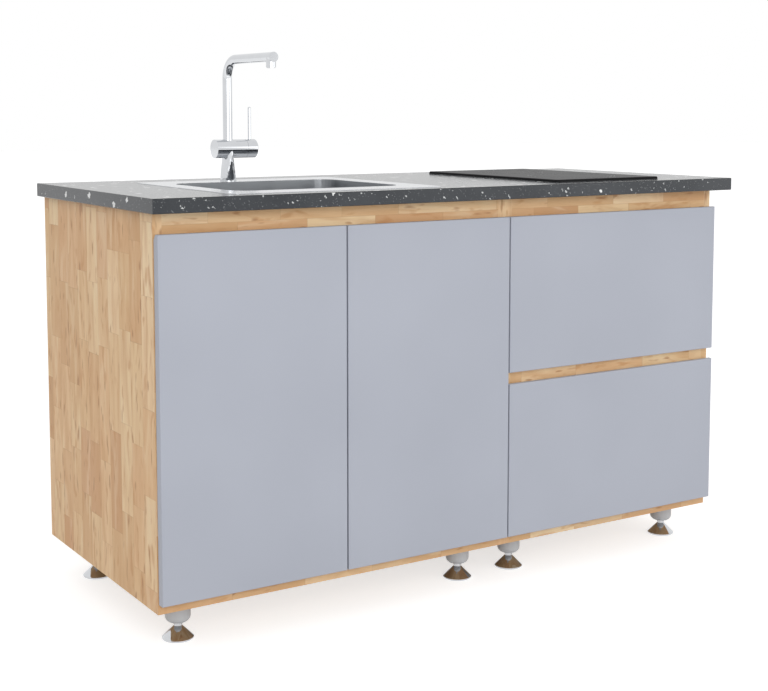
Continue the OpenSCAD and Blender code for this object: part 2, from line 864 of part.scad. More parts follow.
// The tap's column, cross body and the threaded shank through the deck
module tap_body() {
    seat_z = tap_axis_h + tap_cross_r + spout_seat_h;
    color(CHROME) translate([tap_x, tap_y, deck_top_z]) difference() {
        union() {
            cylinder(h = collar_h, r = tap_foot_r + collar_over);
            tap_column();
            translate([0, 0, tap_axis_h]) {
                rod_x(-tap_cross_left, tap_cross_right, tap_cross_r);
                rod_x(tap_cross_right, tap_cross_right + boss_len, boss_r);
            }
            translate([0, 0, tap_axis_h])
                cylinder(h = seat_z - tap_axis_h, r = spout_r + spout_seat_over);
            translate([0, 0, -shank_len]) cylinder(h = shank_len, r = shank_r);
        }
        translate([0, 0, seat_z - spigot_len - seat_gap])
            cylinder(h = spigot_len + seat_gap + CUT, r = spigot_r + run_gap);
        for (x = [-inlet_pitch / 2, inlet_pitch / 2]) {
            translate([x, 0, -shank_len - CUT]) cylinder(h = inlet_len + CUT, r = inlet_r);
        }
    }
}

// The washer and nut that clamp the tap to the deck from below
module tap_fixing_nut() {
    low = -washer_t - nut_h;
    color(ZINC) translate([tap_x, tap_y, top_z]) difference() {
        union() {
            translate([0, 0, -washer_t]) cylinder(h = washer_t - fit_gap, r = tap_hole_r + washer_over);
            translate([0, 0, low]) cylinder(h = nut_h, d = nut_flats / cos(30), $fn = 6);
        }
        translate([0, 0, low - CUT]) cylinder(h = CUT - low + CUT, r = shank_r + run_gap);
    }
}

// The spout's tube at radius r: upright, bend and arm, all about the swivel axis
module spout_path(r, start, end) {
    turn_z = spout_h - spout_r - spout_bend_r;
    translate([0, 0, start]) cylinder(h = turn_z - start, r = r);
    translate([0, -spout_bend_r, turn_z]) rotate([90, 0, 90])
        rotate_extrude(angle = 90) translate([spout_bend_r, 0]) circle(r);
    translate([0, 0, spout_h - spout_r]) rod_y(-end, -spout_bend_r, r);
}

module tap_spout() {
    base = tap_axis_h + tap_cross_r + spout_seat_h + seat_gap;
    nozzle_z = spout_h - 2 * spout_r - nozzle_len;
    color(CHROME) translate([tap_x, tap_y, deck_top_z]) difference() {
        union() {
            spout_path(spout_r, base, spout_reach + spout_r + spout_end);
            translate([0, 0, base - spigot_len]) cylinder(h = spigot_len + CUT, r = spigot_r);
            translate([0, -spout_reach, nozzle_z]) cylinder(h = spout_r + nozzle_len, r = spout_r);
        }
        spout_path(spout_r - spout_wall, base + CUT, spout_reach + spout_r);
        translate([0, -spout_reach, nozzle_z - CUT])
            cylinder(h = spout_r + nozzle_len, r = spout_r - spout_wall);
        translate([0, 0, base - spigot_len - CUT])
            cylinder(h = spigot_len + 3 * CUT, r = spigot_r - spigot_wall);
    }
}

// The aerator in the nozzle, a ring with a fine grid of holes
module tap_aerator() {
    r = spout_r - spout_wall - fit_gap;
    nozzle_z = spout_h - 2 * spout_r - nozzle_len;
    color(ZINC) translate([tap_x, tap_y - spout_reach, deck_top_z + nozzle_z - aerator_out])
        difference() {
            cylinder(h = aerator_len, r = r);
            for (ring = aerator_rings, k = [1:ring[1]]) {
                rotate([0, 0, 360 * k / ring[1]]) translate([ring[0] * r, 0, -CUT])
                    cylinder(h = aerator_len + 2 * CUT, r = aerator_hole_r, $fn = 16);
            }
        }
}

// The end cap that turns on the cross body, with the lever's socket and slot
module tap_end_cap() {
    x0 = tap_cross_right + cap_gap;
    reach = tap_cross_r * tan(lever_tilt);
    slot_half = lever_r + seat_gap;
    color(CHROME) translate([tap_x, tap_y, deck_top_z + tap_axis_h]) difference() {
        union() {
            rod_x(x0, x0 + cap_len - cap_chamfer, tap_cross_r);
            translate([x0 + cap_len - cap_chamfer, 0, 0]) rotate([0, 90, 0])
                cylinder(h = cap_chamfer, r1 = tap_cross_r, r2 = tap_cross_r - cap_chamfer);
        }
        rod_x(x0 - CUT, tap_cross_right + boss_len + cap_gap, boss_r + run_gap);
        translate([lever_x, 0, 0]) sphere(ball_r + run_gap);
        translate([lever_x - slot_half, -slot_half, ball_r / 2])
            cube([reach + 2 * slot_half + cap_gap, 2 * slot_half, tap_cross_r]);
    }
}

// The lever: a rod with a round tip on the ball that the end cap holds
module tap_lever() {
    rod_h = tap_cross_r + lever_len;
    color(CHROME) translate([tap_x + lever_x, tap_y, deck_top_z + tap_axis_h]) {
        sphere(ball_r);
        cylinder(h = rod_h - lever_r, r = lever_r);
        translate([0, 0, rod_h - lever_r]) sphere(lever_r);
    }
}

module hob_glass() {
    color(GLASS) translate([hob_x, hob_front + hob_d / 2, top_z]) hull() {
        linear_extrude(hob_t - hob_chamfer) rounded(hob_w, hob_d, hob_corner_r, $fn = 32);
        linear_extrude(hob_t)
            rounded(hob_w - 2 * hob_chamfer, hob_d - 2 * hob_chamfer, hob_corner_r - hob_chamfer, $fn = 32);
    }
}

// The hob's sheet housing, closed by the glass, with the boss below it where its supply enters
module hob_housing() {
    color(ZINC) translate([hob_x, hob_front + hob_d / 2, top_z - hob_box_h]) {
        difference() {
            linear_extrude(hob_box_h) rounded(hob_box_w, hob_box_d, hob_box_r);
            translate([0, 0, hob_sheet_t]) linear_extrude(hob_box_h)
                rounded(hob_box_w - 2 * hob_sheet_t, hob_box_d - 2 * hob_sheet_t, hob_box_r - hob_sheet_t);
        }
        translate([hob_box_w / 2 - supply_inset, hob_box_d / 2 - supply_inset, -supply_len])
            cylinder(h = supply_len + hob_sheet_t, r = supply_r);
    }
}

// One front, drawn at its place in the drawer cabinet
module drawer_front(z) {
    translate([drawer_cab_x + front_reveal, front_y, z]) front_panel(drawer_front_w, drawer_front_h);
}

// The two side boards of a drawer box, grooved for the base
module box_sides(h) {
    for (x = [0, 1]) {
        translate([x * box_w, -front_gap, 0]) mirror([x, 0, 0]) difference() {
            cube([box_t, box_len, h]);
            translate([box_t - base_groove, -CUT, base_up - fit_gap])
                cube([base_groove + CUT, box_len + 2 * CUT, base_t + 2 * fit_gap]);
        }
    }
}

// The inner front and the back board of a drawer box, between its sides
module box_ends(h) {
    back_up = base_up + base_t + fit_gap;
    difference() {
        translate([box_t, -front_gap, 0]) cube([box_w - 2 * box_t, box_t, h]);
        translate([0, -front_gap + box_t - base_groove, base_up - fit_gap])
            cube([box_w, base_groove + CUT, base_t + 2 * fit_gap]);
    }
    translate([box_t, box_len - front_gap - box_t, back_up])
        cube([box_w - 2 * box_t, box_t, h - back_up]);
}

// The base of a drawer box, in its grooves and under the back board
module box_base() {
    side = box_t - base_groove + fit_gap;
    translate([side, -front_gap + side, base_up])
        cube([box_w - 2 * side, box_len - side, base_t]);
}

// Draws its children with X and Z from a drawer box's lower left edge
module at_box(z) {
    translate([box_x, 0, z]) children();
}

// Draws a runner's member at both sides of a drawer box, with X from the cabinet's side
module at_runners(box_z) {
    for (x = [0, 1]) {
        translate([drawer_cab_x + board_t + x * (drawer_cab_w - 2 * board_t), 0, box_z + runner_up])
            mirror([x, 0, 0]) children();
    }
}

// A channel along Y from y0, with its web between x0 and x0 + runner_t and flanges to x1
module channel(web_x, flange_x0, flange_x1, half, y0, len) {
    translate([web_x, y0, -half]) cube([runner_t, len, 2 * half]);
    for (z = [-half, half - runner_t]) {
        translate([flange_x0, y0, z]) cube([flange_x1 - flange_x0, len, runner_t]);
    }
}

// The runner's member on the cabinet's side
module runner_outer() {
    channel(0, 0, outer_flange, outer_half, runner_front, runner_len);
}

// The member between the other two, which makes half of the drawer's travel
module runner_middle() {
    channel(
        runner_web_x, runner_web_x - middle_flange_out, runner_web_x + middle_flange_in,
        middle_half, runner_front + middle_start, runner_len - middle_short
    );
}

// The member on the drawer's side
module runner_inner() {
    x0 = runner_web_x + runner_t + seat_gap;
    channel(runner_gap - runner_t, x0, runner_gap, inner_half, runner_front, runner_len);
}

module runner_outers() {
    color(ZINC) {
        at_runners(upper_box_z) runner_outer();
        at_runners(lower_box_z) runner_outer();
    }
}

// One leg's fixed part: a screw plate and the sleeve with its rounded lower edge
module leg_sleeve() {
    steps = 8;
    mouth_r = stem_r + sleeve_mouth;
    difference() {
        union() {
            translate([0, 0, -plate_t]) linear_extrude(plate_t)
                rounded(2 * plate_half, 2 * plate_half, plate_corner_r);
            rotate_extrude() polygon(concat(
                [[0, -plate_t], [sleeve_r, -plate_t]],
                [for (k = [0:steps]) let (a = 90 * k / steps)
                    [mouth_r + (sleeve_r - mouth_r) * cos(a), -sleeve_h + sleeve_round * (1 - sin(a))]],
                [[0, -sleeve_h]]
            ));
        }
        translate([0, 0, -sleeve_h - CUT])
            cylinder(h = stem_in_sleeve + 2 * CUT, r = stem_r + run_gap);
    }
}

module leg_sleeves() {
    color(PLASTIC) for (p = leg_places) {
        translate([p[0], p[1], 0]) leg_sleeve();
    }
}

// One foot: a conical base with a rim, a collar and the stem in the sleeve
module foot(k) {
    p = leg_places[k];
    top = leg_h - sleeve_h + stem_in_sleeve;
    color(CHROME) translate([p[0], p[1], -leg_h]) rotate_extrude() polygon([
        [0, 0], [foot_r - foot_edge, 0], [foot_r, foot_edge], [foot_r, foot_rim_h],
        [foot_r - foot_edge, foot_rim_h + foot_edge],
        [stem_r + foot_neck, foot_rim_h + foot_cone_h], [stem_r, foot_rim_h + foot_cone_h + foot_neck],
        [stem_r, top - foot_edge], [stem_r - foot_edge, top], [0, top]
    ]);
}

// The pieces of the two cabinets, each at its place

module sink_side_left() {
    color(WOOD) side_panel();
}

module sink_side_right() {
    color(WOOD) difference() {
        translate([sink_cab_w, 0, 0]) mirror([1, 0, 0]) side_panel();
        bolt_holes();
    }
}

module sink_floor() {
    color(WOOD) floor_panel(sink_cab_w);
}

module sink_front_rail() {
    color(WOOD) rail(sink_cab_w, top_rail_h, 0, top_rail_z);
}

module sink_back_rail() {
    color(WOOD) back_rail(sink_cab_w);
}

module drawer_side_left() {
    color(WOOD) difference() {
        translate([drawer_cab_x, 0, 0]) side_panel();
        bolt_holes();
    }
}

module drawer_side_right() {
    color(WOOD) translate([drawer_cab_x + drawer_cab_w, 0, 0]) mirror([1, 0, 0]) side_panel();
}

module drawer_floor() {
    color(WOOD) translate([drawer_cab_x, 0, 0]) floor_panel(drawer_cab_w);
}

module drawer_front_rail() {
    color(WOOD) translate([drawer_cab_x, 0, 0]) rail(drawer_cab_w, top_rail_h, 0, top_rail_z);
}

module drawer_mid_rail() {
    color(WOOD) translate([drawer_cab_x, 0, 0]) rail(drawer_cab_w, mid_rail_h, 0, mid_rail_z);
}

module drawer_back_rail() {
    color(WOOD) difference() {
        translate([drawer_cab_x, 0, 0]) back_rail(drawer_cab_w);
        hob_room();
    }
}

module drawer_back_panel() {
    color(WOOD) translate([drawer_cab_x, 0, 0]) back_panel(drawer_cab_w);
}

module door_left() {
    color(PAINT) door(false);
}

module door_right() {
    color(PAINT) door(true);
}

module hinge_cups_left() {
    color(ZINC) hinge_cups(false);
}

module hinge_cups_right() {
    color(ZINC) hinge_cups(true);
}

module hinge_links_left() {
    color(ZINC) hinge_links(false);
}

module hinge_links_right() {
    color(ZINC) hinge_links(true);
}

module upper_front() {
    color(PAINT) drawer_front(upper_front_z);
}

module upper_box_sides() {
    color(WOOD) at_box(upper_box_z) box_sides(upper_box_h);
}

module upper_box_ends() {
    color(WOOD) at_box(upper_box_z) box_ends(upper_box_h);
}

module upper_base() {
    color(WOOD) at_box(upper_box_z) box_base();
}

module upper_runner_inners() {
    color(ZINC) at_runners(upper_box_z) runner_inner();
}

module upper_runner_middles() {
    color(ZINC) at_runners(upper_box_z) runner_middle();
}

module lower_front() {
    color(PAINT) drawer_front(fronts_z0);
}

module lower_box_sides() {
    color(WOOD) at_box(lower_box_z) box_sides(lower_box_h);
}

module lower_box_ends() {
    color(WOOD) at_box(lower_box_z) box_ends(lower_box_h);
}

module lower_base() {
    color(WOOD) at_box(lower_box_z) box_base();
}

module lower_runner_inners() {
    color(ZINC) at_runners(lower_box_z) runner_inner();
}

module lower_runner_middles() {
    color(ZINC) at_runners(lower_box_z) runner_middle();
}

in_cabinet() sink_side_left();
in_cabinet() sink_side_right();
in_cabinet() sink_floor();
in_cabinet() sink_front_rail();
in_cabinet() sink_back_rail();
in_cabinet() sink_back_panel();
in_cabinet() drawer_side_left();
in_cabinet() drawer_side_right();
in_cabinet() drawer_floor();
in_cabinet() drawer_front_rail();
in_cabinet() drawer_mid_rail();
in_cabinet() drawer_back_rail();
in_cabinet() drawer_back_panel();
in_cabinet() connector_bolts();
in_cabinet() worktop();
in_cabinet() sink_deck();
in_cabinet() sink_bowl();
in_cabinet() sink_clips();
in_cabinet() sink_waste();
in_cabinet() strainer_basket();
in_cabinet() bottle_trap();
in_cabinet() waste_pipe();
in_cabinet() tap_body();
in_cabinet() tap_fixing_nut();
in_cabinet() tap_spout();
in_cabinet() tap_aerator();
in_cabinet() tap_end_cap();
in_cabinet() tap_lever();
in_cabinet() hob_glass();
in_cabinet() hob_housing();
in_cabinet() door_left();
in_cabinet() door_right();
in_cabinet() hinge_arms();
in_cabinet() hinge_cups_left();
in_cabinet() hinge_cups_right();
in_cabinet() hinge_links_left();
in_cabinet() hinge_links_right();
in_cabinet() runner_outers();
in_cabinet() upper_front();
in_cabinet() upper_box_sides();
in_cabinet() upper_box_ends();
in_cabinet() upper_base();
in_cabinet() upper_runner_inners();
in_cabinet() upper_runner_middles();
in_cabinet() lower_front();
in_cabinet() lower_box_sides();
in_cabinet() lower_box_ends();
in_cabinet() lower_base();
in_cabinet() lower_runner_inners();
in_cabinet() lower_runner_middles();
in_cabinet() leg_sleeves();
in_cabinet() foot(0);  // foot_1
in_cabinet() foot(1);  // foot_2
in_cabinet() foot(2);  // foot_3
in_cabinet() foot(3);  // foot_4
in_cabinet() foot(4);  // foot_5
in_cabinet() foot(5);  // foot_6
in_cabinet() foot(6);  // foot_7
in_cabinet() foot(7);  // foot_8
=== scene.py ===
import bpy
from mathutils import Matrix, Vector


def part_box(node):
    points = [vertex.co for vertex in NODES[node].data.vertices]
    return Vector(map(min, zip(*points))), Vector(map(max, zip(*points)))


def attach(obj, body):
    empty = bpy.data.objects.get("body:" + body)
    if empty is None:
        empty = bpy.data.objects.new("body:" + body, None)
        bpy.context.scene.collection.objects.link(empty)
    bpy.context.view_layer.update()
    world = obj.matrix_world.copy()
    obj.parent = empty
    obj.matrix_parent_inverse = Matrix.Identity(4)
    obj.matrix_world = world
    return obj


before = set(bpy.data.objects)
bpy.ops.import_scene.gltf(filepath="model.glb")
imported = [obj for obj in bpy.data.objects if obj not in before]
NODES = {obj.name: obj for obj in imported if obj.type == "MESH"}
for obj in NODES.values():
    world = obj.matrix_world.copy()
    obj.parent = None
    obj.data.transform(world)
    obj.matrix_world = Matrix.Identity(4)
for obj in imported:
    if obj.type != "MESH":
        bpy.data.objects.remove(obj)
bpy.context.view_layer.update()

import math

import bmesh
import bpy
from mathutils import Matrix, Vector

MM = 0.001

CAMERA_PLACE = (-1.6987, -2.6276, 1.0159)
CAMERA_TURN = (84.745, 0.0, -32.330)
CAMERA_LENS = 65.348
CAMERA_SHIFT_Y = -0.14

FLOOR_SIZE = 30.0
FLOOR_COLOUR = (0.62, 0.62, 0.62, 1.0)
FLOOR_GLOW = 0.66
WORLD_LIGHT = 0.74
# name, place, aim, (width, height), power
LAMPS = (("key", (-1.6, -4.4, 1.9), (0.0, 0.0, 0.5), (3.0, 2.4), 60.0),
         ("fill", (2.8, -3.2, 1.6), (0.0, 0.0, 0.5), (2.6, 2.2), 16.0))
WHITE = (1.0, 1.0, 1.0, 1.0)

AXES = {"x": 0, "y": 1, "z": 2}
STAVE_WIDTH = 0.056
STAVE_LENGTH = 0.165


def srgb(red, green, blue):
    """A colour given in 0 to 255 as a linear one."""
    def linear(value):
        value /= 255
        return value / 12.92 if value <= 0.04045 else ((value + 0.055) / 1.055) ** 2.4
    return (linear(red), linear(green), linear(blue), 1.0)


class Finish:
    """A material made of nodes, with short ways to add to it."""

    def __init__(self, name, **sockets):
        self.material = bpy.data.materials.new(name)
        self.material.use_nodes = True
        self.tree = self.material.node_tree
        self.tree.nodes.clear()
        self.shader = self.node("ShaderNodeBsdfPrincipled")
        self.surface = self.node("ShaderNodeOutputMaterial").inputs["Surface"]
        self.put(self.surface, self.shader.outputs[0])
        for socket, value in sockets.items():
            self.shader.inputs[socket.replace("_", " ")].default_value = value

    def node(self, kind, **settings):
        made = self.tree.nodes.new(kind)
        for name, value in settings.items():
            setattr(made, name, value)
        return made

    def put(self, socket, value):
        """Links a socket to another, or sets it to a plain value."""
        if isinstance(value, bpy.types.NodeSocket):
            self.tree.links.new(value, socket)
        else:
            socket.default_value = value

    def set(self, name, value):
        """Sets or links one of the shader's own sockets."""
        self.put(self.shader.inputs[name], value)

    def place(self):
        """The place on the object: three sockets, along X, Y and Z."""
        coordinates = self.node("ShaderNodeTexCoord")
        parts = self.node("ShaderNodeSeparateXYZ")
        self.put(parts.inputs[0], coordinates.outputs["Object"])
        return parts.outputs[0], parts.outputs[1], parts.outputs[2]

    def math(self, operation, *values):
        made = self.node("ShaderNodeMath", operation=operation)
        for socket, value in zip(made.inputs, values):
            self.put(socket, value)
        return made.outputs[0]

    def vector(self, x, y, z):
        made = self.node("ShaderNodeCombineXYZ")
        for socket, value in zip(made.inputs, (x, y, z)):
            self.put(socket, value)
        return made.outputs[0]

    def scaled(self, parts, scales, shift=None):
        """The place with each part times its scale, or all times one, moved by the shift."""
        if isinstance(scales, float):
            scales = (scales,) * 3
        values = [self.math("MULTIPLY", part, scale) for part, scale in zip(parts, scales)]
        if shift is not None:
            values = [self.math("ADD", value, shift) for value in values]
        return self.vector(*values)

    def noise(self, vector, scale=1.0, detail=2.0, roughness=0.5, distortion=0.0):
        made = self.node("ShaderNodeTexNoise")
        for name, value in (("Vector", vector), ("Scale", scale), ("Detail", detail),
                            ("Roughness", roughness), ("Distortion", distortion)):
            self.put(made.inputs[name], value)
        return made.outputs["Fac"]

    def white(self, x, y, z):
        """Random value and colour of a place."""
        made = self.node("ShaderNodeTexWhiteNoise", noise_dimensions="3D")
        self.put(made.inputs["Vector"], self.vector(x, y, z))
        return made.outputs["Value"], made.outputs["Color"]

    def cells(self, vector, scale):
        """Distance to the nearest of scattered points, and that point's colour."""
        made = self.node("ShaderNodeTexVoronoi")
        self.put(made.inputs["Vector"], vector)
        self.put(made.inputs["Scale"], scale)
        return made.outputs["Distance"], made.outputs["Color"]

    def split(self, colour):
        made = self.node("ShaderNodeSeparateColor")
        self.put(made.inputs[0], colour)
        return made.outputs[0], made.outputs[1], made.outputs[2]

    def ramp(self, value, stops):
        """A colour along stops of (position, colour)."""
        made = self.node("ShaderNodeValToRGB")
        elements = made.color_ramp.elements
        while len(elements) < len(stops):
            elements.new(0.5)
        for element, (position, colour) in zip(elements, stops):
            element.position = position
            element.color = colour
        self.put(made.inputs[0], value)
        return made.outputs[0]

    def fade(self, value, low, high, start=0.0, end=1.0):
        """The value between low and high, mapped to start and end."""
        made = self.node("ShaderNodeMapRange")
        for socket, number in zip(made.inputs, (value, low, high, start, end)):
            self.put(socket, number)
        return made.outputs[0]

    def mix(self, share, first, second):
        made = self.node("ShaderNodeMix", data_type="RGBA")
        self.put(made.inputs[0], share)
        self.put(made.inputs[6], first)
        self.put(made.inputs[7], second)
        return made.outputs[2]

    def bump(self, height, distance, strength=1.0):
        made = self.node("ShaderNodeBump")
        self.put(made.inputs["Strength"], strength)
        self.put(made.inputs["Distance"], distance)
        self.put(made.inputs["Height"], height)
        self.set("Normal", made.outputs[0])


# Materials

STAVE_TONES = [(0.0, srgb(207, 160, 114)), (0.12, srgb(222, 179, 132)), (0.5, srgb(234, 198, 150)),
               (0.8, srgb(243, 212, 167)), (1.0, srgb(252, 227, 187))]
STAVE_PINK, STAVE_DARK = srgb(240, 190, 146), srgb(207, 151, 103)
GRAIN_BROWN, GRAIN_PALE = srgb(215, 166, 116), srgb(253, 232, 194)
FIGURE_BROWN, FIBRE_BROWN = srgb(204, 146, 94), srgb(198, 150, 104)
PORE_BROWN, STREAK_BROWN = srgb(168, 121, 80), srgb(178, 120, 78)
JOINT_BROWN = srgb(152, 107, 70)


def wood(name, along, across, start, seed):
    """Finger-jointed wood: rows of short staves that run along one axis. The first row's edge
    is at start, and the seed deals the staves out."""
    f = Finish(name, Specular_IOR_Level=0.35)
    parts = f.place()
    u, v = parts[AXES[along]], parts[AXES[across]]
    rows = f.math("DIVIDE", f.math("SUBTRACT", v, start), STAVE_WIDTH)
    row = f.math("FLOOR", rows)
    row_value, _ = f.white(row, seed, 0.5)
    sway = f.noise(f.vector(f.math("MULTIPLY", u, 3.1), f.math("MULTIPLY", row, 3.7), seed), 1.0, 0.0)
    run = f.math("DIVIDE", u, STAVE_LENGTH)
    run = f.math("ADD", run, f.math("MULTIPLY", row_value, 9.0))
    run = f.math("ADD", run, f.math("MULTIPLY", sway, 1.3))
    piece = f.math("FLOOR", run)
    _, chance = f.white(row, piece, seed)
    tone, hue, shift = f.split(chance)
    move = f.math("MULTIPLY", shift, 31.0)

    def stretched(lengthwise, crosswise, more=0.0):
        """A place for noise drawn out along the stave, its own on each stave."""
        scales = [lengthwise if axis == AXES[along] else crosswise for axis in range(3)]
        return f.scaled(parts, scales, f.math("ADD", move, more))

    broad = f.noise(stretched(5.5, 30.0), 1.0, 3.0, 0.5, 0.8)
    fibre = f.noise(stretched(16.0, 560.0), 1.0, 2.0, 0.6)
    pores = f.noise(stretched(60.0, 1500.0), 1.0, 1.0, 0.5)
    figure = f.noise(stretched(16.0, 52.0, 5.0), 1.0, 2.0, 0.5, 0.5)
    streak = f.noise(stretched(19.0, 84.0, 9.0), 1.0, 1.0, 0.5)
    base = f.ramp(tone, STAVE_TONES)
    # value, its low and high end, the colour's share at each, and the colour
    for value, low, high, at_low, at_high, colour in (
            (hue, 0.0, 1.0, 0.0, 0.36, STAVE_PINK),
            (hue, 0.90, 0.97, 0.0, 0.60, STAVE_DARK),
            (broad, 0.46, 0.66, 0.0, 0.55, GRAIN_BROWN),
            (broad, 0.30, 0.44, 0.40, 0.0, GRAIN_PALE),
            (figure, 0.58, 0.70, 0.0, 0.55, FIGURE_BROWN),
            (fibre, 0.35, 0.75, 0.0, 0.09, FIBRE_BROWN),
            (pores, 0.62, 0.72, 0.0, 0.12, PORE_BROWN),
            (streak, 0.655, 0.73, 0.0, 0.62, STREAK_BROWN)):
        base = f.mix(f.fade(value, low, high, at_low, at_high), base, colour)
    side_joint = f.fade(f.math("PINGPONG", rows, 0.5), 0.004, 0.014, 1.0, 0.0)
    end_joint = f.fade(f.math("PINGPONG", run, 0.5), 0.0012, 0.005, 1.0, 0.0)
    joint = f.math("MAXIMUM", side_joint, end_joint)
    base = f.mix(f.math("MULTIPLY", joint, 0.20), base, JOINT_BROWN)
    f.set("Base Color", base)
    f.set("Roughness", f.fade(fibre, 0.3, 0.8, 0.46, 0.6))
    height = f.math("SUBTRACT", f.math("MULTIPLY", fibre, 0.6), f.math("MULTIPLY", joint, 0.5))
    f.bump(height, 0.0002, 0.5)
    return f.material


def lacquer():
    """Matt blue-grey lacquer with the faint waves of a sprayed coat."""
    f = Finish("front_lacquer", Specular_IOR_Level=0.35)
    parts = f.place()
    cloud = f.noise(f.scaled(parts, 3.0), 1.0, 2.0)
    peel = f.noise(f.scaled(parts, 420.0), 1.0, 2.0)
    f.set("Base Color", f.mix(f.fade(cloud, 0.35, 0.65), srgb(179, 183, 194), srgb(183, 187, 198)))
    f.set("Roughness", f.fade(peel, 0.3, 0.7, 0.44, 0.54))
    f.bump(peel, 0.00004, 0.5)
    return f.material


# cells in a metre, share of cells with a chip, largest chip as a part of its cell, colour
CHIPS = ((46.0, 0.22, 0.35, srgb(240, 241, 240)),
         (120.0, 0.15, 0.30, srgb(206, 208, 208)),
         (280.0, 0.32, 0.28, srgb(140, 142, 144)))


def stone():
    """Polished dark grey stone with white chips and fine grey grit, with painted dark shade on its eased
    edges.
    """
    f = Finish("speckled_stone", Specular_IOR_Level=0.28)
    parts = f.place()
    shake = f.noise(f.scaled(parts, 150.0), 1.0, 2.0)
    other = f.noise(f.scaled(parts, 150.0, 40.0), 1.0, 2.0)
    bend, lean = (f.math("MULTIPLY", f.math("SUBTRACT", value, 0.5), 0.016) for value in (shake, other))
    bent = f.vector(f.math("ADD", parts[0], bend), f.math("ADD", parts[1], lean),
                    f.math("SUBTRACT", parts[2], bend))
    cloud = f.noise(f.scaled(parts, 9.0), 1.0, 3.0)
    grit = f.noise(f.scaled(parts, 700.0), 1.0, 2.0, 0.7)
    base = f.mix(f.fade(cloud, 0.35, 0.65), srgb(52, 55, 59), srgb(62, 65, 69))
    base = f.mix(f.fade(grit, 0.35, 0.7, 0.0, 0.30), base, srgb(85, 88, 92))
    for scale, share, largest, colour in CHIPS:
        distance, chance = f.cells(bent, scale)
        size, pick, _ = f.split(chance)
        reach = f.math("MULTIPLY", f.fade(size, 0.0, 1.0, 0.35, 1.0), largest)
        chip = f.math("LESS_THAN", distance, reach)
        chip = f.math("MULTIPLY", chip, f.math("LESS_THAN", pick, share))
        base = f.mix(chip, base, colour)
    # Painted shade and painted dark reflection: the eased edges, whose normals point neither straight up
    # nor straight out, are darkened most of the way to near black.
    facing = f.split(f.node("ShaderNodeTexCoord").outputs["Normal"])
    sideways = f.math("MAXIMUM", f.math("ABSOLUTE", facing[0]), f.math("ABSOLUTE", facing[1]))
    flat = f.math("MAXIMUM", sideways, facing[2])
    base = f.mix(f.fade(flat, 0.75, 0.9, 0.8, 0.0), base, srgb(22, 23, 24))
    f.set("Base Color", base)
    f.set("Roughness", f.fade(grit, 0.3, 0.7, 0.15, 0.22))
    f.bump(cloud, 0.0001, 0.3)
    return f.material


BRUSHED_X = (0.05, 1.0, 1.0)
BRUSHED_Y = (1.0, 0.15, 1.0)


def darker(colour, share):
    return tuple(part * share for part in colour[:3]) + (1.0,)


def metal(name, colour, roughness, spread, stretch=(1.0, 1.0, 1.0), scratch=0.0):
    """Metal whose gloss varies, with fine lines where the stretch differs by axis."""
    f = Finish(name, Metallic=1.0)
    parts = f.place()
    lines = f.noise(f.scaled(parts, [700.0 * part for part in stretch]), 1.0, 2.0, 0.6)
    cloud = f.noise(f.scaled(parts, 24.0), 1.0, 2.0)
    mixed = f.math("ADD", f.math("MULTIPLY", lines, 0.6), f.math("MULTIPLY", cloud, 0.4))
    f.set("Base Color", f.mix(f.fade(mixed, 0.35, 0.65), darker(colour, 0.9), colour))
    f.set("Roughness", f.fade(mixed, 0.3, 0.7, roughness, roughness + spread))
    if scratch:
        f.bump(lines, 0.00002, scratch)
    return f.material


def plastic(name, colour, roughness):
    """Moulded plastic with a fine grain."""
    f = Finish(name, Specular_IOR_Level=0.45)
    parts = f.place()
    grain = f.noise(f.scaled(parts, 900.0), 1.0, 2.0)
    cloud = f.noise(f.scaled(parts, 14.0), 1.0, 2.0)
    f.set("Base Color", f.mix(f.fade(cloud, 0.35, 0.65), darker(colour, 0.93), colour))
    f.set("Roughness", f.fade(grain, 0.3, 0.7, roughness, roughness + 0.1))
    f.bump(grain, 0.00004, 0.4)
    return f.material


def glass():
    """Black glass of the hob, with faint marks of wiping in its gloss."""
    f = Finish("hob_glass", Specular_IOR_Level=0.0, Coat_Weight=0.25, Coat_Roughness=0.03)
    parts = f.place()
    wipe = f.noise(f.scaled(parts, (9.0, 38.0, 9.0)), 1.0, 3.0)
    f.set("Base Color", f.mix(f.fade(wipe, 0.4, 0.7), srgb(8, 8, 10), srgb(13, 13, 15)))
    f.set("Roughness", f.fade(wipe, 0.35, 0.7, 0.05, 0.10))
    return f.material


SHINE = {
    "upright_wood": wood("finger_jointed_wood_upright", "z", "y", 0.004, 3.0),
    "cross_wood": wood("finger_jointed_wood_cross", "x", "z", 0.0225, 13.0),
    "deep_wood": wood("finger_jointed_wood_deep", "y", "z", 0.012, 17.0),
    "flat_wood": wood("finger_jointed_wood_flat", "x", "y", 0.02, 23.0),
    "front": lacquer(),
    "stone": stone(),
    "steel": metal("sink_steel", srgb(206, 208, 211), 0.16, 0.10, BRUSHED_X, 0.25),
    # The bowl's steel is rougher than the deck's. Its colour is darker as painted shade for the inside of
    # the bowl.
    "basin": metal("basin_steel_painted_shade", srgb(163, 166, 170), 0.32, 0.12, BRUSHED_X, 0.25),
    "chrome": metal("polished_chrome", srgb(214, 216, 219), 0.03, 0.04),
    "zinc": metal("zinc_plated_steel", srgb(176, 178, 182), 0.26, 0.16, BRUSHED_Y, 0.3),
    "screw": metal("bright_screw", srgb(196, 197, 200), 0.2, 0.12),
    "glass": glass(),
    "print": plastic("zone_print", srgb(120, 122, 126), 0.5),
    "seal": plastic("dark_seal", srgb(34, 35, 37), 0.5),
    "clear_rubber": plastic("clear_rubber", srgb(206, 208, 206), 0.32),
    "white_plastic": plastic("white_plastic", srgb(232, 232, 229), 0.36),
    "grey_plastic": plastic("grey_plastic", srgb(204, 206, 209), 0.4),
}

